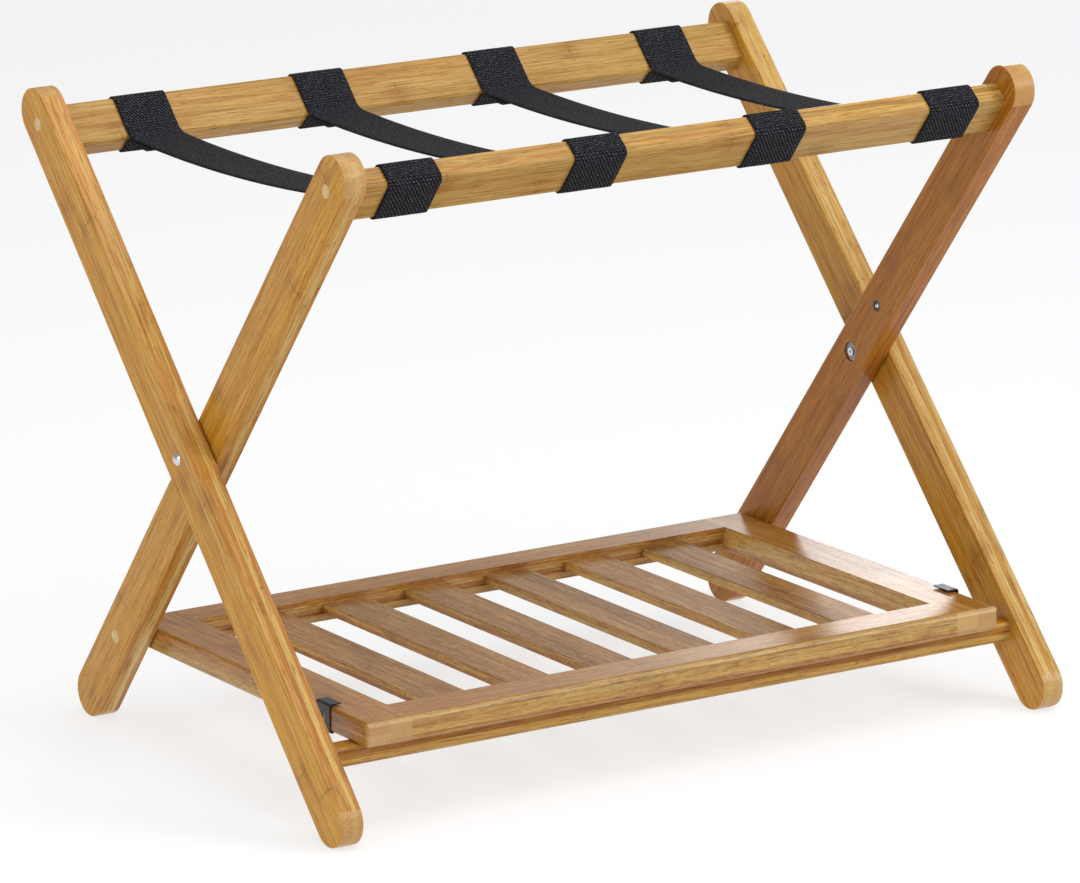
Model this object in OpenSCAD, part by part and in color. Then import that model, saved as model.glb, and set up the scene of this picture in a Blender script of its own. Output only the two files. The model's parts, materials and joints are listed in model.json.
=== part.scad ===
// Folding luggage rack: two crossed frames, webbing straps on top and a slatted shelf below.
// Millimetres. +X runs along the rack, -Y is the front, +Z is up. The feet stand on z = 0.
// The rack stands open. It folds about the bolts where the legs cross.

/* [Whole rack] */
// Length over the outer faces of the outer legs
overall_len = 680; // [600:1:760]
// Height of the bolts where the legs cross
pivot_z = 258; // [250:1:262]

/* [Legs] */
// Width of a leg, seen from the end of the rack
leg_w = 40; // [34:1:44]
// Thickness of a leg along the rack
leg_t = 20; // [18:1:24]
// From the crossing bolt to the centre of a leg's rounded top
upper_len = 325; // [315:1:340]
// From the crossing bolt to the centre of an outer leg's rounded foot
outer_low_len = 325; // [320:1:335]
// From the crossing bolt to the centre of an inner leg's rounded foot
inner_low_len = 307; // [302:1:315]
// Gap between an outer and an inner leg
leg_gap = 1.5; // [1:0.1:3]
// Rounding of the long edges of a leg
leg_edge = 1.2; // [0.8:0.1:4]

/* [Top rails and stretcher] */
// Width of a top rail, measured along the legs
rail_w = 40; // [34:1:44]
// Thickness of a top rail, measured across the legs
rail_t = 20; // [14:1:22]
// Rounding of a top rail's long edges
rail_edge = 4; // [2:0.5:6]
// Depth of the front stretcher, front to back
stretcher_d = 20; // [16:1:24]
// Height of the front stretcher
stretcher_h = 16; // [12:1:20]
// Centre of the front stretcher, from the middle of the rack
stretcher_y = -185; // [-190:1:-180]

/* [Shelf] */
// Thickness of the shelf frame
shelf_t = 20; // [17:0.5:20]
// Height of the middle of the shelf
shelf_z = 77.5; // [76:0.5:84]
// Front edge of the shelf
shelf_front = -210; // [-216:1:-204]
// Back edge of the shelf
shelf_back = 160; // [154:1:160]
// Gap between the shelf and an inner leg
shelf_gap = 1.8; // [1.8:0.1:2.5]
// Width of a side board
side_w = 40; // [34:1:46]
// Width of the front rail of the shelf
front_rail_w = 38; // [34:1:46]
// Width of the back rail of the shelf
back_rail_w = 36; // [24:1:40]
// Width of a slat
slat_w = 40; // [36:1:50]
// Thickness of a slat
slat_t = 8; // [6:0.5:9]
// From one slat to the next
slat_pitch = 78; // [70:1:80]

/* [Straps] */
// Width of the webbing
strap_w = 46.5; // [40:0.5:54]
// Thickness of the webbing
strap_t = 1.8; // [1.2:0.1:2.4]
// From one strap to the next
strap_pitch = 166; // [160:1:175]
// How far a strap sags between the rails
strap_sag = 8; // [2:1:16]

/* [Fittings] */
// Diameter of the crossing bolts
bolt_d = 5; // [4:0.5:6]
// Diameter of a crossing bolt's domed head
bolt_head_d = 10.5; // [9:0.5:12]
// Diameter of a wooden plug
plug_d = 11; // [10:0.5:13]
// From the crossing bolt up to the ball catch
catch_up = 59; // [52:1:64]
// Width of a strike clip
clip_w = 20; // [16:1:24]

/* [Hidden] */
$fn = 64;
outer_lean = acos((pivot_z - leg_w / 2) / outer_low_len);
inner_lean = acos((pivot_z - leg_w / 2) / inner_low_len);
outer_face = overall_len / 2;
outer_in = outer_face - leg_t;
inner_out = outer_in - leg_gap;
inner_face = inner_out - leg_t;
outer_mid = outer_face - leg_t / 2;
inner_mid = inner_face + leg_t / 2;

rail_up = upper_len - rail_w / 2;
plug_up = upper_len - 11;
plug_t = 4;
bore_depth = 9;
screw_d = 5;
screw_head_d = 9;
screw_len = 50;
snug = 0.05;
running = 0.08;

spacer_t = leg_gap - 0.2;
spacer_d = 15;
washer_d = 15;
washer_t = 1;
recess_d = 16;
recess_depth = 2.6;
nut_d = 7.6;
nut_t = 1.2;
head_h = 2.6;
socket_d = 2.8;
socket_depth = 1.5;

catch_d = 10;
catch_len = 10;
ball_d = 6;
ball_out = 0.6;
ball_x = inner_face - ball_out + ball_d / 2;

shelf_half = inner_face - shelf_gap;
shelf_top = shelf_z + shelf_t / 2;
shelf_base = shelf_z - shelf_t / 2;
shelf_edge = 5;
shelf_side_edge = 3;
shelf_corner = 3;
board_in = shelf_half - side_w;
opening_front = shelf_front + front_rail_w;
opening_back = shelf_back - back_rail_w;
hinge_low = (pivot_z - shelf_z) / cos(inner_lean);
hinge_y = hinge_low * sin(inner_lean);
slat_count = 6;
slat_drop = 6;
slat_top = shelf_top - slat_drop;
slat_z = slat_top - slat_t / 2;
slat_edge = 1;
groove_depth = 3;
groove_room = 0.1;
slat_end_room = 0.5;

clip_t = 1;
clip_bend = 1;
clip_lift = 1.4;
clip_flange = 10.5;
clip_lip = 4;
clip_hole_d = 6.8;
clip_y = hinge_y - hinge_low - catch_up;

strap_count = 4;
loop_room = 0.3;
loop_grow = loop_room + strap_t;
stretcher_top = shelf_base - 0.2;
stretcher_edge = 3;
span_steps = 20;

bamboo = [0.76, 0.55, 0.31];
bamboo_pale = [0.82, 0.64, 0.41];
bamboo_shelf = [0.67, 0.46, 0.30];
webbing = [0.05, 0.05, 0.055];
steel = [0.75, 0.76, 0.78];
steel_grey = [0.45, 0.46, 0.48];
black_steel = [0.06, 0.06, 0.065];

// ---- placing ----

// Children are drawn for the right-hand side; side -1 mirrors them to the left.
module at_side(side) {
  mirror([side < 0 ? 1 : 0, 0, 0]) children();
}

// The leaning frames' own axes: the crossing bolt at the origin, the legs along Z.
module on_outer() {
  translate([0, 0, pivot_z]) rotate([-outer_lean, 0, 0]) children();
}

module on_inner() {
  translate([0, 0, pivot_z]) rotate([inner_lean, 0, 0]) children();
}

// A flat shape, its X along Y and its Y along Z, drawn out along X about the middle.
module along_x(len) {
  rotate([90, 0, 90]) translate([0, 0, -len / 2]) linear_extrude(len) children();
}

// A flat shape, its X along X and its Y along Z, drawn out along Y between two places.
module along_y(from, to) {
  translate([0, to, 0]) rotate([90, 0, 0]) linear_extrude(to - from) children();
}

// A rod along X from one place to another.
module rod_x(from, to, d) {
  translate([from, 0, 0]) rotate([0, 90, 0]) cylinder(h = to - from, d = d);
}

// ---- shared shapes ----

// A rectangle a by b about the middle, its corners rounded by r.
module section(a, b, r) {
  square([a - 2 * r, b], center = true);
  square([a, b - 2 * r], center = true);
  for (x = [-1, 1], y = [-1, 1]) {
    translate([x * (a / 2 - r), y * (b / 2 - r)]) circle(r);
  }
}

// Half of a leg's rounded end, turned about X to make the whole end.
module leg_end() {
  rotate([0, 90, 0]) rotate_extrude() {
    translate([0, -leg_t / 2]) square([leg_w / 2 - leg_edge, leg_t]);
    translate([0, leg_edge - leg_t / 2]) square([leg_w / 2, leg_t - 2 * leg_edge]);
    for (y = [-1, 1]) {
      translate([leg_w / 2 - leg_edge, y * (leg_t / 2 - leg_edge)]) circle(leg_edge);
    }
  }
}

module leg_blank(low) {
  translate([0, 0, -low]) linear_extrude(low + upper_len) section(leg_t, leg_w, leg_edge);
  translate([0, 0, -low]) leg_end();
  translate([0, 0, upper_len]) leg_end();
}

// A plug's bore and the screw hole beyond it, cut into a leg from the face at x = face.
module plug_bore(face, hole_d) {
  rod_x(face - bore_depth, face + 1, plug_d + 2 * snug);
  rod_x(face - leg_t - 1, face, hole_d);
}

module plug(face) {
  rod_x(face - plug_t, face, plug_d);
}

// A screw whose head lies under the plug of the face at x = face.
module hidden_screw(face, gap) {
  rod_x(face - bore_depth + gap, face - plug_t - 0.3, screw_head_d);
  rod_x(face - screw_len, face - bore_depth + gap, screw_d);
}

module top_rail(len) {
  translate([0, 0, rail_up]) difference() {
    along_x(len) section(rail_t, rail_w, rail_edge);
    for (side = [-1, 1]) {
      at_side(side) translate([0, 0, plug_up - rail_up]) {
        rod_x(len / 2 - screw_len, len / 2 + 1, screw_d + 2 * snug);
      }
    }
  }
}

// ---- outer frame ----

module outer_leg(side) {
  at_side(side) on_outer() difference() {
    translate([outer_mid, 0, 0]) leg_blank(outer_low_len);
    translate([0, 0, plug_up]) plug_bore(outer_face, screw_d + 2 * snug);
    rod_x(outer_in - 1, outer_face + 1, bolt_d + 2 * snug);
  }
}

module outer_leg_left() { color(bamboo) outer_leg(-1); }
module outer_leg_right() { color(bamboo) outer_leg(1); }

module back_top_rail() {
  color(bamboo) on_outer() top_rail(2 * outer_in);
}

module front_stretcher() {
  color(bamboo) translate([0, stretcher_y, stretcher_top - stretcher_h / 2]) {
    along_x(2 * outer_in) section(stretcher_d, stretcher_h, stretcher_edge);
  }
}

module outer_leg_plugs() {
  color(bamboo_pale) for (side = [-1, 1]) {
    at_side(side) on_outer() translate([0, 0, plug_up]) plug(outer_face);
  }
}

module back_rail_screws() {
  color(steel) for (side = [-1, 1]) {
    at_side(side) on_outer() translate([0, 0, plug_up]) hidden_screw(outer_face, 0);
  }
}

// Half of a bolt's outline, from its inner end to its domed head.
module bolt_profile() {
  dome_r = (pow(bolt_head_d / 2, 2) + pow(head_h, 2)) / (2 * head_h);
  shank_from = inner_face + 0.2;
  translate([0, shank_from]) square([bolt_d / 2, outer_face - shank_from]);
  intersection() {
    translate([0, outer_face + head_h - dome_r]) circle(dome_r);
    translate([0, outer_face]) square([bolt_head_d, head_h + 1]);
  }
}

// The domed head lies on the outer leg; the shank passes through both legs and ends in a socket.
module pivot_bolt(side) {
  color(steel) at_side(side) on_outer() rotate([0, 90, 0]) difference() {
    rotate_extrude() bolt_profile();
    translate([0, 0, inner_face]) cylinder(h = socket_depth, d = socket_d, $fn = 6);
  }
}

module pivot_bolt_left() { pivot_bolt(-1); }
module pivot_bolt_right() { pivot_bolt(1); }

module ring_x(from, to, d, hole) {
  difference() {
    rod_x(from, to, d);
    rod_x(from - 1, to + 1, hole);
  }
}

module leg_spacer(side) {
  color(steel_grey) at_side(side) on_outer() {
    ring_x(outer_in - spacer_t, outer_in, spacer_d, bolt_d + 2 * snug);
  }
}

module leg_spacer_left() { leg_spacer(-1); }
module leg_spacer_right() { leg_spacer(1); }

module pivot_washer(side) {
  seat = inner_face + recess_depth - 0.2;
  color(steel_grey) at_side(side) on_outer() {
    ring_x(seat - washer_t, seat, washer_d, bolt_d + 2 * snug);
  }
}

module pivot_washer_left() { pivot_washer(-1); }
module pivot_washer_right() { pivot_washer(1); }

module pivot_nut(side) {
  seat = inner_face + recess_depth - 0.2 - washer_t;
  color(steel) at_side(side) on_outer() difference() {
    translate([seat - nut_t, 0, 0]) rotate([0, 90, 0]) cylinder(h = nut_t, d = nut_d, $fn = 6);
    rod_x(seat - nut_t - 1, seat + 1, bolt_d + 2 * snug);
  }
}

module pivot_nut_left() { pivot_nut(-1); }
module pivot_nut_right() { pivot_nut(1); }

// ---- inner frame ----

module inner_leg(side) {
  at_side(side) on_inner() difference() {
    translate([inner_mid, 0, 0]) leg_blank(inner_low_len);
    translate([0, 0, plug_up]) plug_bore(inner_out, screw_d + 2 * snug);
    translate([0, 0, -hinge_low]) plug_bore(inner_out, screw_d + 2 * running);
    rod_x(inner_face - 1, inner_out + 1, bolt_d + 2 * running);
    rod_x(inner_face - 1, inner_face + recess_depth, recess_d);
    translate([0, 0, catch_up]) rod_x(inner_face - 1, inner_face + catch_len, catch_d + 2 * snug);
  }
}

module inner_leg_left() { color(bamboo) inner_leg(-1); }
module inner_leg_right() { color(bamboo) inner_leg(1); }

module front_top_rail() {
  color(bamboo) on_inner() top_rail(2 * inner_face);
}

module inner_leg_plugs() {
  color(bamboo_pale) for (side = [-1, 1], up = [plug_up, -hinge_low]) {
    at_side(side) on_inner() translate([0, 0, up]) plug(inner_out);
  }
}

module front_rail_screws() {
  color(steel) for (side = [-1, 1]) {
    at_side(side) on_inner() translate([0, 0, plug_up]) hidden_screw(inner_out, 0);
  }
}

// A steel cup let into the inner leg, open towards the shelf.
module catch_case(side) {
  color(steel_grey) at_side(side) on_inner() translate([0, 0, catch_up]) difference() {
    rod_x(inner_face, inner_face + catch_len, catch_d);
    rod_x(inner_face - 1, inner_face + catch_len - 1, ball_d + 0.2);
  }
}

module catch_case_left() { catch_case(-1); }
module catch_case_right() { catch_case(1); }

module catch_ball(side) {
  color(steel) at_side(side) on_inner() translate([ball_x, 0, catch_up]) sphere(d = ball_d);
}

module catch_ball_left() { catch_ball(-1); }
module catch_ball_right() { catch_ball(1); }

// ---- straps ----

function strap_x(n) = (n - (strap_count + 1) / 2) * strap_pitch;

// One strap's loop about a top rail.
module strap_loop(n) {
  translate([strap_x(n), 0, rail_up]) along_x(strap_w) difference() {
    section(rail_t + 2 * loop_grow, rail_w + 2 * loop_grow, rail_edge + loop_grow);
    section(rail_t + 2 * loop_room, rail_w + 2 * loop_room, rail_edge + loop_room);
  }
}

// A point on a leaning frame, as [y, z]: across the leg and up it.
function outer_point(across, up) = [
  across * cos(outer_lean) + up * sin(outer_lean),
  pivot_z - across * sin(outer_lean) + up * cos(outer_lean)
];
function inner_point(across, up) = [
  across * cos(inner_lean) - up * sin(inner_lean),
  pivot_z + across * sin(inner_lean) + up * cos(inner_lean)
];

// The span runs from the front loop's lower back edge to the back loop's lower front edge.
span_from = inner_point(rail_t / 2 + loop_grow, rail_up - rail_w / 2 - loop_grow);
span_to = outer_point(-rail_t / 2 - loop_grow, rail_up - rail_w / 2 - loop_grow);

function span_point(f, lift) = [
  span_from[0] + f * (span_to[0] - span_from[0]),
  span_from[1] + f * (span_to[1] - span_from[1]) - 4 * strap_sag * f * (1 - f) + lift
];

module strap_span(n) {
  steps = [for (k = [0:span_steps]) k / span_steps];
  top = [for (f = steps) span_point(f, strap_t / 2)];
  under = [for (f = steps) span_point(1 - f, -strap_t / 2)];
  translate([strap_x(n), 0, 0]) along_x(strap_w) polygon(concat(top, under));
}

module strap_1_front_loop() { color(webbing) on_inner() strap_loop(1); }
module strap_2_front_loop() { color(webbing) on_inner() strap_loop(2); }
module strap_3_front_loop() { color(webbing) on_inner() strap_loop(3); }
module strap_4_front_loop() { color(webbing) on_inner() strap_loop(4); }
module strap_1_back_loop() { color(webbing) on_outer() strap_loop(1); }
module strap_2_back_loop() { color(webbing) on_outer() strap_loop(2); }
module strap_3_back_loop() { color(webbing) on_outer() strap_loop(3); }
module strap_4_back_loop() { color(webbing) on_outer() strap_loop(4); }
module strap_1_span() { color(webbing) strap_span(1); }
module strap_2_span() { color(webbing) strap_span(2); }
module strap_3_span() { color(webbing) strap_span(3); }
module strap_4_span() { color(webbing) strap_span(4); }

// ---- shelf ----

// The whole shelf as one rounded slab, from which its boards are taken.
module shelf_slab() {
  depth = shelf_back - shelf_front;
  mid_y = (shelf_front + shelf_back) / 2;
  intersection() {
    translate([0, mid_y, shelf_z]) along_x(2 * shelf_half) section(depth, shelf_t, shelf_edge);
    along_y(shelf_front, shelf_back) translate([0, shelf_z]) {
      section(2 * shelf_half, shelf_t, shelf_side_edge);
    }
    translate([0, mid_y, shelf_base]) linear_extrude(shelf_t) {
      section(2 * shelf_half, depth, shelf_corner);
    }
  }
}

module shelf_side(side) {
  color(bamboo_shelf) at_side(side) difference() {
    intersection() {
      shelf_slab();
      translate([board_in, shelf_front - 1, shelf_base - 1]) {
        cube([side_w + 1, shelf_back - shelf_front + 2, shelf_t + 2]);
      }
    }
    translate([0, hinge_y, shelf_z]) rod_x(inner_out - screw_len, shelf_half + 1, screw_d + 2 * snug);
  }
}

module shelf_side_left() { shelf_side(-1); }
module shelf_side_right() { shelf_side(1); }

// A rail between the side boards, grooved on the side that faces the slats.
module shelf_rail(from, to, groove_from, groove_to) {
  color(bamboo_shelf) difference() {
    intersection() {
      shelf_slab();
      translate([-board_in, from, shelf_base - 1]) cube([2 * board_in, to - from, shelf_t + 2]);
    }
    translate([-board_in - 1, groove_from, slat_z - slat_t / 2 - groove_room]) {
      cube([2 * board_in + 2, groove_to - groove_from, slat_t + 2 * groove_room]);
    }
  }
}

module shelf_front_rail() {
  shelf_rail(shelf_front - 1, opening_front, opening_front - groove_depth, opening_front + 1);
}

module shelf_back_rail() {
  shelf_rail(opening_back, shelf_back + 1, opening_back - 1, opening_back + groove_depth);
}

module shelf_slat(n) {
  reach = groove_depth - slat_end_room;
  color(bamboo_shelf) translate([(n - (slat_count + 1) / 2) * slat_pitch, 0, 0]) {
    along_y(opening_front - reach, opening_back + reach) {
      translate([0, slat_z]) section(slat_w, slat_t, slat_edge);
    }
  }
}

module shelf_slat_1() { shelf_slat(1); }
module shelf_slat_2() { shelf_slat(2); }
module shelf_slat_3() { shelf_slat(3); }
module shelf_slat_4() { shelf_slat(4); }
module shelf_slat_5() { shelf_slat(5); }
module shelf_slat_6() { shelf_slat(6); }

// The clip's bent strip, its X along X and its Y along Z: a flange above, a lip below.
module clip_profile() {
  tall = shelf_t + clip_lift + 2 * clip_t;
  translate([shelf_half + clip_t - clip_flange, shelf_base - clip_t + tall / 2]) difference() {
    section(2 * clip_flange, tall, clip_bend + clip_t);
    section(2 * (clip_flange - clip_t), tall - 2 * clip_t, clip_bend);
    translate([-clip_flange - 1, -tall]) square([clip_flange + 1, 2 * tall]);
    translate([-1, -tall]) square([clip_flange - clip_lip + 1, tall]);
  }
}

// A bent steel clip that grips a side board; the ball catch snaps into its hole.
module strike_clip(side) {
  color(black_steel) at_side(side) difference() {
    along_y(clip_y - clip_w / 2, clip_y + clip_w / 2) clip_profile();
    translate([0, clip_y, shelf_z]) rod_x(shelf_half - 1, shelf_half + clip_t + 1, clip_hole_d);
  }
}

module strike_clip_left() { strike_clip(-1); }
module strike_clip_right() { strike_clip(1); }

// The shelf swings on these; their heads turn freely under the lower plugs.
module shelf_hinge_screws() {
  color(steel) for (side = [-1, 1]) {
    at_side(side) translate([0, hinge_y, shelf_z]) hidden_screw(inner_out, 0.2);
  }
}

inner_leg_left();
inner_leg_right();
front_top_rail();
inner_leg_plugs();
front_rail_screws();
catch_case_left();
catch_case_right();
catch_ball_left();
catch_ball_right();
outer_leg_left();
outer_leg_right();
back_top_rail();
front_stretcher();
outer_leg_plugs();
back_rail_screws();
pivot_bolt_left();
pivot_bolt_right();
leg_spacer_left();
leg_spacer_right();
pivot_washer_left();
pivot_washer_right();
pivot_nut_left();
pivot_nut_right();
strap_1_front_loop();
strap_2_front_loop();
strap_3_front_loop();
strap_4_front_loop();
strap_1_back_loop();
strap_2_back_loop();
strap_3_back_loop();
strap_4_back_loop();
strap_1_span();
strap_2_span();
strap_3_span();
strap_4_span();
shelf_side_left();
shelf_side_right();
shelf_front_rail();
shelf_back_rail();
shelf_slat_1();
shelf_slat_2();
shelf_slat_3();
shelf_slat_4();
shelf_slat_5();
shelf_slat_6();
strike_clip_left();
strike_clip_right();
shelf_hinge_screws();
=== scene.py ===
import bisect
import json
import math
import random

import bmesh
import bpy
from mathutils import Euler, Matrix, Vector


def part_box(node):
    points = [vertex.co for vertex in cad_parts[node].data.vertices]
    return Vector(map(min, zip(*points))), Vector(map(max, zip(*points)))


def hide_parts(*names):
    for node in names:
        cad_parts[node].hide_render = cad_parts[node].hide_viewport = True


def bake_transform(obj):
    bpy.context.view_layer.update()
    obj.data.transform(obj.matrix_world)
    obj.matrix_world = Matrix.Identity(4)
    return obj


bl_info = {
    "name": "Folding luggage rack",
    "version": (1, 0, 0),
    "blender": (4, 5, 0),
    "location": "3D View > Sidebar > Luggage rack",
    "description": "Finishes, straps and studio for a folding bamboo luggage rack",
    "category": "Object",
}

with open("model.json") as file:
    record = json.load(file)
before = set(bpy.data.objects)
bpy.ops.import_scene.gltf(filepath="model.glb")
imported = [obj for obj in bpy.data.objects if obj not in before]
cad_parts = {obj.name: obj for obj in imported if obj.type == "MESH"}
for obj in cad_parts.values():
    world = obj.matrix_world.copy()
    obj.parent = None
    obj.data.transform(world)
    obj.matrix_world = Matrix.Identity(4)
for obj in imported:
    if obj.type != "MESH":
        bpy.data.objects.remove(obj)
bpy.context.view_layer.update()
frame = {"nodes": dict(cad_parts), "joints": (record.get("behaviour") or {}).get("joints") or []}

MM = 0.001
SIDES = ("left", "right")


# ---- where the boards lie, read from the frame ----


def centre(node):
    low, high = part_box(node)
    return (low + high) / 2


def joint(name):
    return next(j for j in frame["joints"] if j["name"] == name)


PIVOT = Vector(joint("fold")["pos_m"])
LEG_WIDTH = 40 * MM
LEG_THICKNESS = 20 * MM


def leg_direction(node):
    """The unit vector up a leg, from the box about its two rounded ends."""
    low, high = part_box(node)
    rise = high.z - low.z - LEG_WIDTH
    run = high.y - low.y - LEG_WIDTH
    leans_back = node.startswith("outer")
    return Vector((0, run if leans_back else -run, rise)).normalized()


OUTER_UP = leg_direction("outer_leg_left")
INNER_UP = leg_direction("inner_leg_left")
ALONG_X = Vector((1, 0, 0))
ALONG_Y = Vector((0, 1, 0))
ALONG_Z = Vector((0, 0, 1))


# ---- properties ----


def shade(name, default, description):
    return bpy.props.FloatVectorProperty(
        name=name, description=description, subtype="COLOR", size=3, min=0, max=1, default=default
    )


def length(name, millimetres, description):
    return bpy.props.FloatProperty(
        name=name, description=description, default=millimetres * MM, min=0, unit="LENGTH", precision=4
    )


def share(name, default, description):
    return bpy.props.FloatProperty(
        name=name, description=description, default=default, min=0, max=1, subtype="FACTOR"
    )


class RackBamboo(bpy.types.PropertyGroup):
    pale: shade("Pale strip", (0.64, 0.47, 0.19), "The lightest laminated strips")
    honey: shade("Honey strip", (0.60, 0.375, 0.10), "The common tone of the strips")
    rosy: shade("Rosy strip", (0.54, 0.26, 0.055), "The orange-brown strips")
    face: shade("Broad face", (0.62, 0.31, 0.020), "The broad faces of the legs")
    rail: shade("Rail face", (0.48, 0.315, 0.090), "The broad faces of the top rails")
    ends: shade("Rounded ends", (0.50, 0.31, 0.13), "The sanded ends of the legs")
    shelf: shade("Shelf", (0.42, 0.19, 0.030), "The top of the shelf boards")
    slat: shade("Slat", (0.255, 0.108, 0.014), "The top of the slats")
    knuckle: shade("Knuckle", (0.24, 0.085, 0.012), "The joints of the bamboo stalk")
    layer: length("Layer", 5, "Thickness of one laminated layer")
    strip: length("Strip", 20, "Width of one strip in a layer")
    stalk: length("Stalk joint spacing", 260, "From one knuckle to the next on a strip")
    lacquer: share("Lacquer roughness", 0.22, "How dull the lacquer is")


class RackWebbing(bpy.types.PropertyGroup):
    yarn: shade("Yarn", (0.028, 0.029, 0.034), "The raised yarns")
    gap: shade("Between yarns", (0.003, 0.003, 0.004), "The shade between the yarns")
    width: length("Width", 46.5, "Width of the webbing")
    thickness: length("Thickness", 1.6, "Thickness of the webbing")
    tail: length("Tail", 34, "The sewn end under each strap")
    sag: length("Sag", 8, "How far a strap hangs below a straight line")
    rib: length("Rib", 3.0, "From one twill rib to the next")
    pick: length("Pick", 2.4, "From one crossways yarn to the next")


class RackMetal(bpy.types.PropertyGroup):
    bright: shade("Bright steel", (0.72, 0.72, 0.74), "Bolts, screws and catch balls")
    dull: shade("Dull steel", (0.30, 0.31, 0.33), "Washers, spacers and catch cups")
    black: shade("Black paint", (0.012, 0.012, 0.014), "The painted strike clips")


class RackStudio(bpy.types.PropertyGroup):
    floor: shade("Floor", (0.32, 0.32, 0.32), "The pale floor")
    glow: share("Floor glow", 0.68, "The light that comes up through the floor")
    lens: bpy.props.FloatProperty(
        name="Lens", description="Focal length", default=218.3, min=10, unit="CAMERA"
    )
    place: bpy.props.FloatVectorProperty(
        name="Camera", description="Place of the camera", size=3, unit="LENGTH",
        default=(-2.742, -4.315, 1.497)
    )
    heading: bpy.props.FloatProperty(
        name="Heading", description="Turn of the view to the right of straight ahead", subtype="ANGLE",
        default=math.radians(32.378)
    )
    tilt: bpy.props.FloatProperty(
        name="Tilt", description="How far the view looks down", subtype="ANGLE",
        default=math.radians(13.983)
    )
    roll: bpy.props.FloatProperty(
        name="Roll", description="Roll of the camera", subtype="ANGLE", default=math.radians(-0.580)
    )


GROUPS = {
    "rack_bamboo": RackBamboo,
    "rack_webbing": RackWebbing,
    "rack_metal": RackMetal,
    "rack_studio": RackStudio,
}


# ---- shader building ----


class Formula:
    """A shader value. Each sign between two of them adds a Math node."""

    def __init__(self, finish, socket):
        self.finish = finish
        self.socket = socket

    def math(self, operation, *values):
        return self.finish.add("ShaderNodeMath", {"operation": operation}, list(values))[0]

    def __add__(self, other):
        return self.math("ADD", self, other)

    def __radd__(self, other):
        return self.math("ADD", other, self)

    def __sub__(self, other):
        return self.math("SUBTRACT", self, other)

    def __rsub__(self, other):
        return self.math("SUBTRACT", other, self)

    def __mul__(self, other):
        return self.math("MULTIPLY", self, other)

    def __rmul__(self, other):
        return self.math("MULTIPLY", other, self)

    def __truediv__(self, other):
        return self.math("DIVIDE", self, other)

    def __gt__(self, other):
        return self.math("GREATER_THAN", self, other)

    def __lt__(self, other):
        return self.math("LESS_THAN", self, other)

    def __abs__(self):
        return self.math("ABSOLUTE", self)

    def floor(self):
        return self.math("FLOOR", self)

    def fract(self):
        return self.math("FRACT", self)

    def sine(self):
        return self.math("SINE", self)

    def least(self, other):
        return self.math("MINIMUM", self, other)

    def most(self, other):
        return self.math("MAXIMUM", self, other)

    def ramp(self, low, high, start=0.0, end=1.0):
        """This value taken smoothly from start at low to end at high, and held beyond."""
        settings = {"interpolation_type": "SMOOTHSTEP"}
        return self.finish.add("ShaderNodeMapRange", settings, [self, low, high, start, end])[0]


class Finish:
    """A material being made: its nodes, its surface shader and the formulas that feed it."""

    def __init__(self, name):
        self.material = bpy.data.materials.new(name)
        self.material.use_nodes = True
        self.tree = self.material.node_tree
        self.surface = self.tree.nodes["Principled BSDF"]

    def add(self, kind, settings=None, sockets=()):
        """A new node's outputs as formulas. Sockets are values or formulas, by place or by name."""
        node = self.tree.nodes.new(kind)
        for key, value in (settings or {}).items():
            setattr(node, key, value)
        given = sockets.items() if isinstance(sockets, dict) else enumerate(sockets)
        for key, value in given:
            self.feed(node.inputs[key], value)
        return [Formula(self, out) for out in node.outputs]

    def feed(self, socket, value):
        if isinstance(value, Formula):
            self.tree.links.new(value.socket, socket)
        elif socket.type == "RGBA" and len(value) == 3:
            socket.default_value = (*value, 1)
        else:
            socket.default_value = value

    def set(self, **values):
        """Sockets of the surface shader, by their names with _ for a space."""
        for key, value in values.items():
            self.feed(self.surface.inputs[key.replace("_", " ")], value)

    def mix(self, factor, first, second, blend="MIX"):
        settings = {"data_type": "RGBA", "blend_type": blend}
        return self.add("ShaderNodeMix", settings, {0: factor, 6: first, 7: second})[2]

    def vector(self, x, y, z):
        return self.add("ShaderNodeCombineXYZ", None, [x, y, z])[0]

    def noise(self, vector, scale=1.0, detail=2.0, roughness=0.5):
        sockets = {"Vector": vector, "Scale": scale, "Detail": detail, "Roughness": roughness}
        return self.add("ShaderNodeTexNoise", None, sockets)[0]

    def chance(self, number):
        """Three random numbers from 0 to 1 that depend only on number."""
        colour = self.add("ShaderNodeTexWhiteNoise", {"noise_dimensions": "1D"}, {"W": number})[1]
        return self.add("ShaderNodeSeparateColor", None, [colour])

    def bump(self, height, distance, strength=1.0):
        sockets = {"Height": height, "Distance": distance, "Strength": strength}
        self.set(Normal=self.add("ShaderNodeBump", None, sockets)[0])

    def object_place(self):
        return self.add("ShaderNodeTexCoord")[3]

    def placed(self, origin, x_axis, y_axis, z_axis):
        """The place in a board's own axes, from its centre, as three formulas in metres."""
        turn = Matrix((x_axis, y_axis, z_axis))
        sockets = {
            "Vector": self.object_place(),
            "Location": -(turn @ origin),
            "Rotation": turn.to_euler("XYZ"),
        }
        place = self.add("ShaderNodeMapping", None, sockets)[0]
        return self.add("ShaderNodeSeparateXYZ", None, [place])


def give(material, *nodes):
    """Paints CAD nodes with a material."""
    for name in nodes:
        mesh = frame["nodes"][name].data
        mesh.materials.clear()
        mesh.materials.append(material)


# ---- bamboo ----


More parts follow.
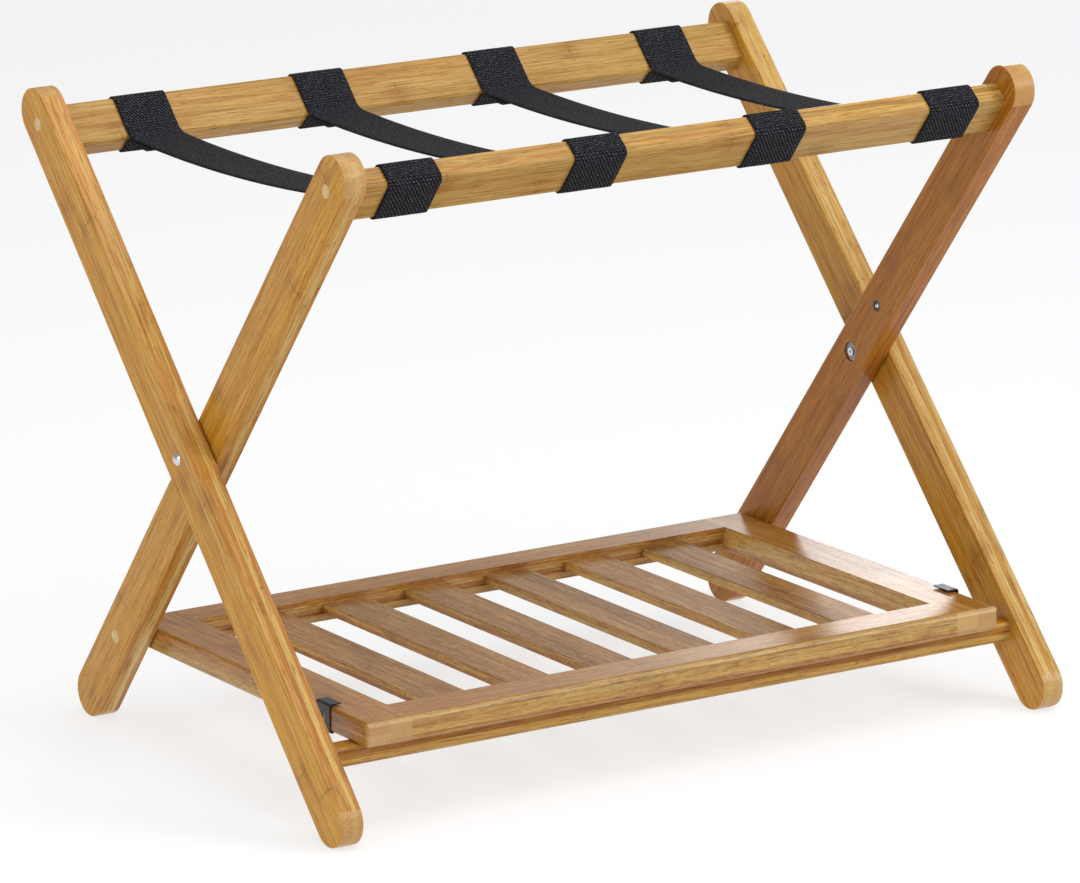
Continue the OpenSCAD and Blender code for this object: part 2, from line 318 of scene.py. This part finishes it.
class Board:
    """One board: where its middle is, which ways its grain, width and layers run, and how it is
    finished. deep darkens it, which on the legs is painted shade; gloss and dull set the lacquer,
    mottle breaks up the grain, and ends is the length of end grain at each end."""

    def __init__(self, node, grain, layers, half_width, half_depth, half_length):
        self.node = node
        self.grain = grain
        self.layers = layers
        self.across = grain.cross(layers)
        self.half_width = half_width
        self.half_depth = half_depth
        self.half_length = half_length
        self.middle = centre(node)
        self.deep = 0.0
        self.gloss = 0.2
        self.dull = 0.0
        self.mottle = 0.0
        self.ends = 0.0


def bamboo(board, seed, broad, strips):
    """Laminated bamboo: strips of several tones, long fibres, knuckles and speckled end grain."""
    look = bpy.context.scene.rack_bamboo
    finish = Finish(f"bamboo_{board.node}")
    depth, across, run = finish.placed(board.middle, board.layers, board.across, board.grain)

    inside = 0.98
    layer = (depth * (inside / look.layer)).floor()
    strip = (across * (inside / look.strip)).floor()
    luck = finish.chance(layer * 3.71 + strip * 11.93 + seed * 7.13)
    shift = luck[0] * 3.1 + luck[1] * 1.7

    # noises in cycles per metre: fine across the grain and long along it
    fibre = finish.noise(finish.vector(depth * 620 + shift, across * 620 + shift, run * 20), 1.0, 3.0, 0.65)
    streaks = finish.vector(depth * 150 + shift, across * 150 + shift, run * 3 + shift)
    streak = finish.noise(streaks, 1.0, 3.0, 0.6)
    cloud = finish.noise(finish.vector(depth * 22 + shift, across * 22, run * 5 + shift))
    grit = finish.noise(finish.vector(depth * 520 + shift, across * 520, run * 130 + shift), 1.0, 3.0, 0.7)
    dash = finish.noise(finish.vector(depth * 900, across * 900 + shift, run * 75 + shift), 1.0, 1.0)

    on_broad = abs(depth) > (board.half_depth - 0.35 * MM)
    edge_tone = finish.mix(luck[1].ramp(0.30, 0.45), strips[0], strips[1])
    edge_tone = finish.mix(luck[2].ramp(0.62, 0.72), edge_tone, strips[2])
    broad_tone = finish.mix(luck[1] * 0.35, broad, strips[1])
    tone = finish.mix(on_broad, edge_tone, broad_tone)
    tone = finish.mix(cloud.ramp(0.35, 0.7) * 0.4, tone, look.rosy)
    tone = finish.mix(streak.ramp(0.44, 0.64) * 0.5, tone, (0.74, 0.56, 0.30), "MULTIPLY")
    tone = finish.mix(fibre.ramp(0.45, 0.64) * 0.65, tone, (0.62, 0.47, 0.27), "MULTIPLY")
    tone = finish.mix(fibre.ramp(0.46, 0.30) * 0.35, tone, look.pale)
    tone = finish.mix(dash.ramp(0.58, 0.70) * 0.6, tone, (0.54, 0.35, 0.18), "MULTIPLY")
    if board.mottle:
        tone = finish.mix(grit.ramp(0.42, 0.62) * board.mottle, tone, (0.52, 0.42, 0.36), "MULTIPLY")
        tone = finish.mix(grit.ramp(0.50, 0.36) * board.mottle * 0.5, tone, look.honey)
    tone = finish.mix(board.deep, tone, (0.68, 0.48, 0.20), "MULTIPLY")

    stalk = look.stalk
    wander = (cloud - 0.5) * (9 * MM)
    from_knuckle = ((run / stalk + luck[2] * 5.3).fract() - 0.5) * stalk + wander
    away = abs(from_knuckle)
    ridge = away.ramp(0.5 * MM, 2.0 * MM, 1.0, 0.0)
    blush = away.ramp(2.0 * MM, 17 * MM, 1.0, 0.0) * streak.ramp(0.38, 0.60)
    mark = (ridge * fibre.ramp(0.35, 0.6) * 0.75).most(blush * 0.5)
    tone = finish.mix(mark, tone, look.knuckle)

    if board.ends:
        speck = finish.noise(finish.vector(depth * 1000, across * 1000, run * 200), 1.0, 1.0)
        start = board.half_length - board.ends
        at_end = abs(run).ramp(start, start + 1 * MM) * (1 - on_broad)
        end_tone = finish.mix(0.65, edge_tone, look.ends)
        end_tone = finish.mix(speck.ramp(0.42, 0.62) * 0.5, end_tone, (0.66, 0.52, 0.36), "MULTIPLY")
        tone = finish.mix(at_end * 0.9, tone, end_tone)

    finish.set(
        Base_Color=tone,
        Roughness=look.lacquer + board.dull + fibre * 0.2,
        Coat_Weight=0.06,
        Coat_Roughness=0.15,
        Specular_IOR_Level=board.gloss,
    )
    finish.bump(fibre * 0.7 + streak * 0.3 - ridge * 0.5, 0.12 * MM)
    return finish.material


def paint(board, seed, broad, strips):
    give(bamboo(board, seed, broad, strips), board.node)


class RACK_OT_legs(bpy.types.Operator):
    """Finish the four crossed legs"""

    bl_idname = "rack.legs"
    bl_label = "Legs"

    def execute(self, context):
        look = context.scene.rack_bamboo
        strips = (look.pale, look.honey, look.rosy)
        # legs whose seen faces lie inside the rack are darkened as painted shade, the inner right leg most
        painted_leg_shade = {"inner_leg_left": 0.15, "inner_leg_right": 0.85, "outer_leg_right": 0.2}
        for place, up in (("outer", OUTER_UP), ("inner", INNER_UP)):
            for number, side in enumerate(SIDES):
                node = f"{place}_leg_{side}"
                low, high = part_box(node)
                half_length = (high.z - low.z - LEG_WIDTH) / up.z / 2 + LEG_WIDTH / 2
                board = Board(node, up, ALONG_X, LEG_WIDTH / 2, LEG_THICKNESS / 2, half_length)
                board.deep = painted_leg_shade.get(node, 0.0)
                board.ends = LEG_WIDTH / 2 - 2 * MM
                seed = number + (3 if place == "outer" else 8)
                paint(board, seed, look.face, strips)
        return {"FINISHED"}


class RACK_OT_top_rails(bpy.types.Operator):
    """Finish the two top rails and the stretcher"""

    bl_idname = "rack.top_rails"
    bl_label = "Top rails and stretcher"

    def execute(self, context):
        look = context.scene.rack_bamboo
        strips = (look.rail, look.rail, look.honey)
        for seed, (node, up) in enumerate((("front_top_rail", INNER_UP), ("back_top_rail", OUTER_UP))):
            layers = ALONG_X.cross(up)
            low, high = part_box(node)
            board = Board(node, ALONG_X, layers, 20 * MM, 10 * MM, (high.x - low.x) / 2)
            board.deep = 0.25
            paint(board, 21 + seed, look.rail, strips)
        low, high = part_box("front_stretcher")
        half = (high - low) / 2
        board = Board("front_stretcher", ALONG_X, ALONG_Z, half.y, half.z, half.x)
        board.deep = 0.25
        paint(board, 31, look.face, (look.rail, look.honey, look.shelf))
        return {"FINISHED"}


class RACK_OT_shelf(bpy.types.Operator):
    """Finish the shelf's frame and slats"""

    bl_idname = "rack.shelf"
    bl_label = "Shelf"

    def execute(self, context):
        look = context.scene.rack_bamboo
        strips = (look.rail, look.honey, look.shelf)
        grains = {f"shelf_side_{side}": ALONG_Y for side in SIDES}
        grains |= {"shelf_front_rail": ALONG_X, "shelf_back_rail": ALONG_X}
        grains |= {f"shelf_slat_{n}": ALONG_Y for n in range(1, 7)}
        for seed, (node, grain) in enumerate(grains.items()):
            low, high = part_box(node)
            half = (high - low) / 2
            wide, long = (half.x, half.y) if grain is ALONG_Y else (half.y, half.x)
            board = Board(node, grain, ALONG_Z, wide, half.z, long)
            board.gloss = 0.5
            board.mottle = 0.35
            board.deep = 0.12
            if "side" in node:
                board.ends = 5 * MM
            if "slat" in node:
                board.dull = 0.18
            top = look.slat if "slat" in node else look.shelf
            paint(board, 41 + seed * 1.7, top, strips)
        return {"FINISHED"}


class RACK_OT_plugs(bpy.types.Operator):
    """Finish the wooden plugs over the screws"""

    bl_idname = "rack.plugs"
    bl_label = "Wooden plugs"

    def execute(self, context):
        look = context.scene.rack_bamboo
        finish = Finish("bamboo_plug")
        place = finish.object_place()
        speck = finish.noise(place, scale=1400.0, detail=2.0)
        cloud = finish.noise(place, scale=160.0, detail=1.0)
        tone = finish.mix(cloud.ramp(0.35, 0.65), look.pale, look.honey)
        tone = finish.mix(speck.ramp(0.5, 0.7) * 0.5, tone, look.knuckle)
        finish.set(Base_Color=tone, Roughness=0.45, Coat_Weight=0.5, Coat_Roughness=look.lacquer)
        finish.bump(speck, 0.05 * MM)
        give(finish.material, "inner_leg_plugs", "outer_leg_plugs")
        return {"FINISHED"}


# ---- metal ----


def steel(name, colour, roughness, grain):
    finish = Finish(name)
    place = finish.object_place()
    wear = finish.noise(place, scale=420.0, detail=3.0)
    scuff = finish.noise(place, scale=2600.0, detail=2.0)
    tone = finish.mix(wear.ramp(0.35, 0.75) * 0.4, colour, tuple(0.6 * c for c in colour))
    finish.set(Base_Color=tone, Metallic=1.0, Roughness=roughness + wear * 0.12)
    finish.bump(scuff, grain)
    return finish.material


class RACK_OT_fittings(bpy.types.Operator):
    """Finish the bolts, washers, nuts and screws"""

    bl_idname = "rack.fittings"
    bl_label = "Bolts and screws"

    def execute(self, context):
        look = context.scene.rack_metal
        bright = steel("bright_steel", look.bright, 0.18, 0.01 * MM)
        dull = steel("dull_steel", look.dull, 0.38, 0.02 * MM)
        for side in SIDES:
            give(bright, f"pivot_bolt_{side}", f"pivot_nut_{side}")
            give(dull, f"pivot_washer_{side}", f"leg_spacer_{side}")
        give(bright, "front_rail_screws", "back_rail_screws", "shelf_hinge_screws")
        return {"FINISHED"}


class RACK_OT_catches(bpy.types.Operator):
    """Finish the ball catches and the strike clips"""

    bl_idname = "rack.catches"
    bl_label = "Ball catches and clips"

    def execute(self, context):
        look = context.scene.rack_metal
        cup = steel("catch_cup", tuple(0.35 * c for c in look.dull), 0.45, 0.02 * MM)
        ball = steel("catch_ball", look.bright, 0.12, 0.004 * MM)
        finish = Finish("black_paint")
        place = finish.object_place()
        speck = finish.noise(place, scale=1900.0, detail=2.0)
        wear = finish.noise(place, scale=140.0, detail=3.0)
        tone = finish.mix(wear.ramp(0.55, 0.8) * 0.4, look.black, (0.05, 0.05, 0.055))
        finish.set(Base_Color=tone, Roughness=0.33 + wear * 0.14, Specular_IOR_Level=0.5)
        finish.bump(speck, 0.02 * MM)
        for side in SIDES:
            give(cup, f"catch_case_{side}")
            give(ball, f"catch_ball_{side}")
            give(finish.material, f"strike_clip_{side}")
        return {"FINISHED"}


# ---- straps ----


class Rail:
    """A top rail seen from its end: its middle, the way up its legs, and the side facing the span."""

    def __init__(self, node, up, inward):
        self.middle = centre(node)
        self.up = up
        self.inward = inward
        self.half_up = 20 * MM
        self.half_in = 10 * MM
        self.round = 4 * MM

    def point(self, inward, up):
        return self.middle.yz + inward * self.inward.yz + up * self.up.yz


class Route:
    """The middle line of a strap in the YZ plane: straights and curves with rounded corners."""

    STEP = 0.8 * MM

    def __init__(self, corners):
        self.points = []
        for number, (corner, radius) in enumerate(corners):
            inner = 0 < number < len(corners) - 1
            if inner and radius:
                self.round_corner(corners[number - 1][0], corner, corners[number + 1][0], radius)
            else:
                self.points.append(corner)
        self.points = self.evenly(self.points)
        self.total = (len(self.points) - 1) * self.step

    def round_corner(self, before, corner, after, radius):
        arriving = (corner - before).normalized()
        leaving = (after - corner).normalized()
        turn = arriving.angle_signed(leaving)
        reach = radius * math.tan(abs(turn) / 2)
        start = corner - arriving * reach
        side = math.copysign(1, turn)
        hub = start + Vector((arriving.y, -arriving.x)) * radius * side
        count = max(3, int(abs(turn) * radius / (0.5 * MM)))
        for k in range(count + 1):
            angle = -turn * k / count
            spoke = start - hub
            turned = Vector((
                spoke.x * math.cos(angle) - spoke.y * math.sin(angle),
                spoke.x * math.sin(angle) + spoke.y * math.cos(angle),
            ))
            self.points.append(hub + turned)

    def evenly(self, points):
        runs = [0.0]
        for a, b in zip(points, points[1:]):
            runs.append(runs[-1] + (b - a).length)
        count = round(runs[-1] / self.STEP)
        self.step = runs[-1] / count
        placed = []
        for k in range(count + 1):
            run = min(k * self.step, runs[-1])
            n = min(max(bisect.bisect_right(runs, run) - 1, 0), len(points) - 2)
            part = (run - runs[n]) / max(runs[n + 1] - runs[n], 1e-12)
            placed.append(points[n].lerp(points[n + 1], part))
        return placed

    def at(self, run):
        """The point and the unit normal, on the left of the way along, at a distance along."""
        exact = min(max(run / self.step, 0), len(self.points) - 1.000001)
        n = int(exact)
        point = self.points[n].lerp(self.points[n + 1], exact - n)
        before = self.points[max(n - 1, 0)]
        after = self.points[min(n + 2, len(self.points) - 1)]
        way = (after - before).normalized()
        return point, Vector((-way.y, way.x))


def loop_corners(rail, look, way):
    """Corners about a rail from the tail under the span round to where the span leaves.
    way is the span's direction away from the rail."""
    out = 0.3 * MM + look.thickness / 2
    side = rail.half_in + out
    top = rail.half_up + out
    bend = rail.round + out
    leave = rail.point(side, -top)
    under = Vector((way.y, -way.x))
    if under.y > 0:
        under = -under
    below = leave + under * (look.thickness * 1.08)
    along_in = rail.inward.yz
    up = rail.up.yz
    slope = way.dot(-up)
    back = (below - rail.middle.yz).dot(-up) - top
    meet = below - way * (back / slope)
    return [
        (below + way * look.tail, 0),
        (meet, 5 * MM),
        (rail.point(-side, -top), bend),
        (rail.point(-side, top), bend),
        (rail.point(side, top), bend),
        (leave, 20 * MM),
    ]


def span_points(start, end, sag, count=24):
    """A shallow curve between the rails, lowest in its middle."""
    points = []
    for k in range(1, count):
        part = k / count
        drop = 4 * sag * part * (1 - part)
        points.append((start.lerp(end, part) - Vector((0, drop)), 0))
    return points


def strap_route(look):
    """From the front tail round the front rail, over the span, round the back rail to the back tail."""
    front = Rail("front_top_rail", INNER_UP, ALONG_X.cross(INNER_UP) * -1)
    back = Rail("back_top_rail", OUTER_UP, ALONG_X.cross(OUTER_UP))
    out = 0.3 * MM + look.thickness / 2
    start = front.point(front.half_in + out, -front.half_up - out)
    end = back.point(back.half_in + out, -back.half_up - out)
    chord = end - start
    slope = 4 * look.sag / chord.length
    way_front = (chord.normalized() - Vector((0, slope))).normalized()
    way_back = (-chord.normalized() - Vector((0, slope))).normalized()
    corners = loop_corners(front, look, way_front)
    corners += span_points(start, end, look.sag)
    corners += reversed(loop_corners(back, look, way_back))
    return Route(corners), start, end


def webbing(look, total):
    """Black twill webbing: slanting ribs of yarn with painted shade between them and painted glints on
    them, a plain edge and rows of stitches at the tails.
    """
    finish = Finish("webbing")
    place = finish.add("ShaderNodeUVMap", {"uv_map": "flat"})[0]
    across, run, _ = finish.add("ShaderNodeSeparateXYZ", None, [place])
    turn = 2 * math.pi / look.rib
    slip = finish.noise(place, scale=90.0, detail=1.0) * 2.0
    ribs = (across * turn + run * (0.7 * turn) + slip).sine() * 0.5 + 0.5
    picks = (run * (2 * math.pi / look.pick) + slip).sine() * 0.5 + 0.5
    from_edge = look.width / 2 - abs(across - look.width / 2)
    edge = from_edge.ramp(1.2 * MM, 2.0 * MM, 1.0, 0.0)
    fuzz_and_glint = finish.noise(place, scale=700.0, detail=3.0, roughness=0.75)
    worn = finish.noise(place, scale=60.0, detail=2.0)
    weave = ribs * 0.6 + picks * 0.4
    weave = weave * (1 - edge) + (picks * 0.5 + 0.25) * edge

    from_end = run.least(total - run)
    row = (abs(from_end - look.tail * 0.35)).least(abs(from_end - look.tail * 0.75))
    thread = row.ramp(0.35 * MM, 0.6 * MM, 1.0, 0.0) * ((across / (3.2 * MM)).fract() < 0.72)
    thread = thread * (from_edge > 4 * MM)

    # the yarn colour against painted shade between the yarns, painted glints as pale specks on the raised
    # yarns, and painted shade as dark specks
    tone = finish.mix(weave.ramp(0.35, 0.85), look.gap, look.yarn)
    tone = finish.mix(fuzz_and_glint.ramp(0.50, 0.62) * weave.ramp(0.3, 0.7), tone, (0.105, 0.108, 0.125))
    tone = finish.mix(fuzz_and_glint.ramp(0.50, 0.38) * 0.85, tone, look.gap)
    tone = finish.mix(worn.ramp(0.45, 0.75) * 0.2, tone, (0.03, 0.031, 0.036))
    tone = finish.mix(thread * 0.8, tone, (0.04, 0.04, 0.045))
    finish.set(Base_Color=tone, Roughness=0.85 + fuzz_and_glint * 0.1, Specular_IOR_Level=0.12)
    finish.bump(weave * 0.8 + fuzz_and_glint * 0.5 + thread * 1.6, 0.3 * MM)
    return finish.material


class RACK_OT_straps(bpy.types.Operator):
    """Cut, wrap and sew the four webbing straps"""

    bl_idname = "rack.straps"
    bl_label = "Straps"

    # the length at each end that ripples, the length over which a tail comes square, how high
    # the ripples stand, and how far the span's edges curl
    LOOP = 110 * MM
    EASE = 30 * MM
    RIPPLE = 0.16 * MM
    CUP = 0.35 * MM

    def execute(self, context):
        look = context.scene.rack_webbing
        route, start, end = strap_route(look)
        material = webbing(look, route.total)
        for number in range(1, 5):
            self.strap(number, look, route, start, end, material)
        return {"FINISHED"}

    def strap(self, number, look, route, start, end, material):
        rng = random.Random(100 + number)
        name = f"strap_{number}"
        mesh = bpy.data.meshes.new(name)
        piece = bpy.data.objects.new(name, mesh)
        bpy.context.scene.collection.objects.link(piece)

        rows = round(route.total / (1.6 * MM))
        shape = bmesh.new()
        bmesh.ops.create_grid(shape, x_segments=12, y_segments=rows, size=0.5)
        bmesh.ops.transform(
            shape,
            matrix=Matrix.Diagonal((look.width, route.total, 1, 1)) @ Matrix.Translation((0.5, 0.5, 0)),
            verts=shape.verts,
        )
        flat = shape.loops.layers.uv.new("flat")
        for face in shape.faces:
            for corner in face.loops:
                corner[flat].uv = corner.vert.co.xy
        middle = centre(f"strap_{number}_span").x
        lean = [rng.uniform(-2.5, 2.5) * MM, rng.uniform(-4.5, -1.5) * MM]
        ripple = [rng.uniform(0, 6.28) for _ in range(4)]
        for vert in shape.verts:
            vert.co = self.laid(vert.co, look, route, middle, lean, ripple)
        bmesh.ops.recalc_face_normals(shape, faces=shape.faces)
        shape.to_mesh(mesh)
        shape.free()
        mesh.shade_smooth()
        mesh.materials.append(material)
        body = piece.modifiers.new("thickness", "SOLIDIFY")
        body.thickness = look.thickness
        body.offset = 0

        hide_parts(*[f"strap_{number}_{part}" for part in ("front_loop", "span", "back_loop")])
        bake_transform(piece)

    def laid(self, place, look, route, middle, lean, ripple):
        """Where a point of the flat strap lies once it is wrapped about the rails."""
        across, run = place.x - look.width / 2, place.y
        point, normal = route.at(run)
        from_end = min(run, route.total - run)
        loop_share = max(0.0, 1 - from_end / self.LOOP)
        skew = lean[0] if run < route.total / 2 else lean[1]
        loose = max(0.0, 1 - from_end / (look.tail + self.EASE))
        wave = math.sin(across * 190 + ripple[0]) * math.sin(run * 120 + ripple[1])
        wave += 0.6 * math.sin(across * 80 + run * 60 + ripple[2])
        lift = self.RIPPLE * (1 + wave) * loop_share
        hollow = math.sin(math.pi * from_end / (route.total / 2))
        sink = self.CUP * hollow * (across / look.width) ** 2
        laid = Vector((middle + across + skew * loose, point.x, point.y))
        return laid + Vector((0, normal.x, normal.y)) * (lift - sink)


# ---- studio ----


def softbox(name, place, target, size, watts):
    light = bpy.data.lights.new(name, "AREA")
    light.shape = "RECTANGLE"
    light.size, light.size_y = size
    light.energy = watts
    lamp = bpy.data.objects.new(name, light)
    lamp.location = place
    way = Vector(target) - Vector(place)
    lamp.rotation_euler = way.to_track_quat("-Z", "Y").to_euler()
    bpy.context.scene.collection.objects.link(lamp)


class RACK_OT_studio(bpy.types.Operator):
    """Set up the floor, the soft lights and the camera"""

    bl_idname = "rack.studio"
    bl_label = "Studio"

    def execute(self, context):
        scene = context.scene
        look = scene.rack_studio
        self.floor(look)
        self.lights(scene)
        self.camera(scene, look)
        scene.view_settings.view_transform = "Standard"
        return {"FINISHED"}

    def floor(self, look):
        mesh = bpy.data.meshes.new("floor")
        shape = bmesh.new()
        bmesh.ops.create_grid(shape, x_segments=1, y_segments=1, size=14)
        shape.to_mesh(mesh)
        shape.free()
        floor = bpy.data.objects.new("floor", mesh)
        bpy.context.scene.collection.objects.link(floor)
        finish = Finish("pale_floor")
        finish.set(Base_Color=look.floor, Roughness=0.7, Specular_IOR_Level=0.0)
        finish.set(Emission_Color=(1, 1, 1), Emission_Strength=look.glow)
        mesh.materials.append(finish.material)

    def lights(self, scene):
        world = bpy.data.worlds.new("studio")
        scene.world = world
        world.use_nodes = True
        sky = world.node_tree.nodes["Background"]
        sky.inputs["Color"].default_value = (1, 1, 1, 1)
        sky.inputs["Strength"].default_value = 0.4
        softbox("overhead", (0.3, -0.7, 3.2), (0, 0, 0.2), (3.4, 3.0), 68)
        softbox("front_right", (2.4, -3.0, 2.2), (0, 0, 0.3), (1.8, 1.8), 62)
        softbox("left", (-3.2, -1.2, 1.4), (0, 0, 0.3), (1.6, 1.6), 25)
        softbox("far_card", (4.77, 5.56, 2.2), (0, 0, 0.1), (1.2, 1.6), 40)

    def camera(self, scene, look):
        data = bpy.data.cameras.new("camera")
        data.lens = look.lens
        data.clip_end = 100
        camera = bpy.data.objects.new("camera", data)
        camera.location = look.place
        upright = Euler((math.pi / 2 - look.tilt, 0, -look.heading)).to_matrix()
        rolled = upright @ Matrix.Rotation(look.roll, 3, "Z")
        camera.rotation_euler = rolled.to_euler()
        scene.collection.objects.link(camera)
        scene.camera = camera


OPERATORS = (
    RACK_OT_legs,
    RACK_OT_top_rails,
    RACK_OT_shelf,
    RACK_OT_plugs,
    RACK_OT_fittings,
    RACK_OT_catches,
    RACK_OT_straps,
    RACK_OT_studio,
)


class RACK_PT_panel(bpy.types.Panel):
    """Lists the steps that finish the rack"""

    bl_idname = "RACK_PT_panel"
    bl_label = "Luggage rack"
    bl_space_type = "VIEW_3D"
    bl_region_type = "UI"
    bl_category = "Luggage rack"

    def draw(self, context):
        column = self.layout.column()
        for operator in OPERATORS:
            column.operator(operator.bl_idname)
        for name, group in GROUPS.items():
            box = self.layout.box()
            box.label(text=name.replace("rack_", "").title())
            for field in group.__annotations__:
                box.prop(getattr(context.scene, name), field)


def register():
    for kind in (*GROUPS.values(), *OPERATORS, RACK_PT_panel):
        bpy.utils.register_class(kind)
    for name, group in GROUPS.items():
        setattr(bpy.types.Scene, name, bpy.props.PointerProperty(type=group))


def unregister():
    for name in GROUPS:
        delattr(bpy.types.Scene, name)
    for kind in reversed((*GROUPS.values(), *OPERATORS, RACK_PT_panel)):
        bpy.utils.unregister_class(kind)


def main():
    register()
    for operator in OPERATORS:
        group, name = operator.bl_idname.split(".")
        getattr(getattr(bpy.ops, group), name)()


if __name__ == "__main__":
    main()
